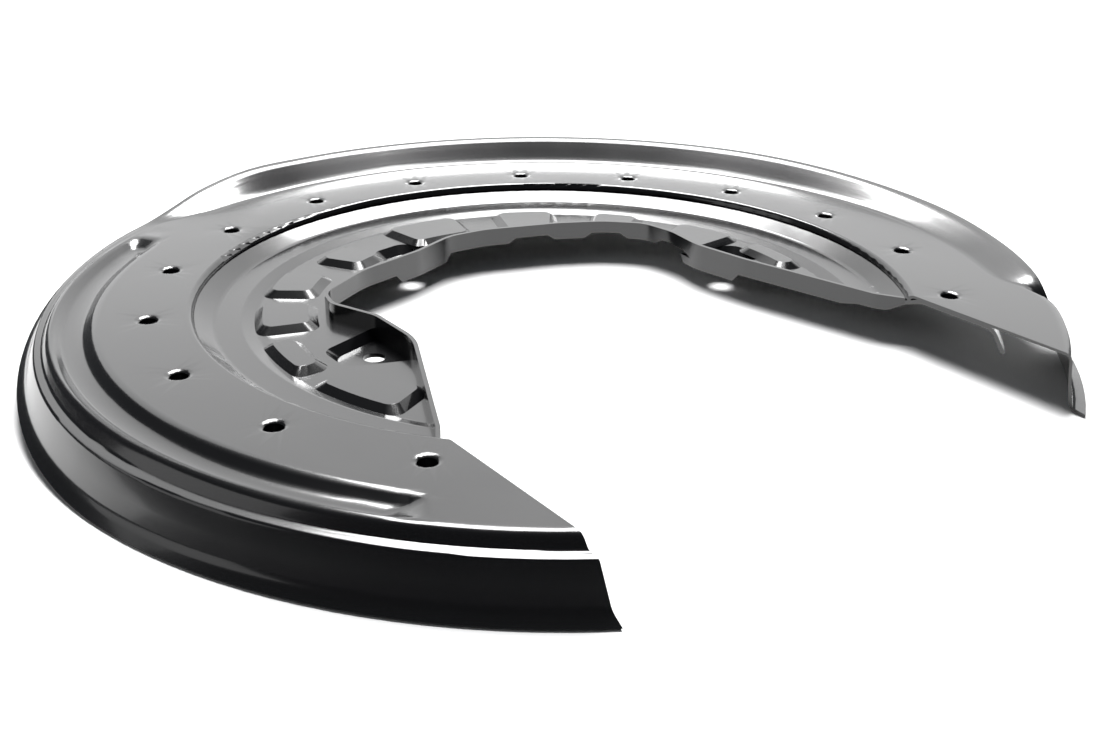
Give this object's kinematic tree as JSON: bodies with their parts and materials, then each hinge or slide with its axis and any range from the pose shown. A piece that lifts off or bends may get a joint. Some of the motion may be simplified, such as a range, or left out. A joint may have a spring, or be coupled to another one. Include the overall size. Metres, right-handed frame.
{
  "type": "brake dust shield",
  "caption": "C-shaped pressed steel brake dust shield with a flanged outer ring clinched to a ribbed carrier plate around a hub opening.",
  "frame": {"origin": "on the wheel axis, in the plane of the underside of the three screw bosses", "axes": "+Z along the wheel axis towards the brake disc, -Y towards the gap of the C, +X to the right of the gap"},
  "size_m": [0.3857, 0.3583, 0.0298],
  "materials": {
    "black_coated_ring": "gloss",
    "black_coated_plate": "gloss"
  },
  "bodies": {
    "root": {"outer_ring": "black_coated_ring", "carrier_plate": "black_coated_plate"}
  },
  "joints": []
}
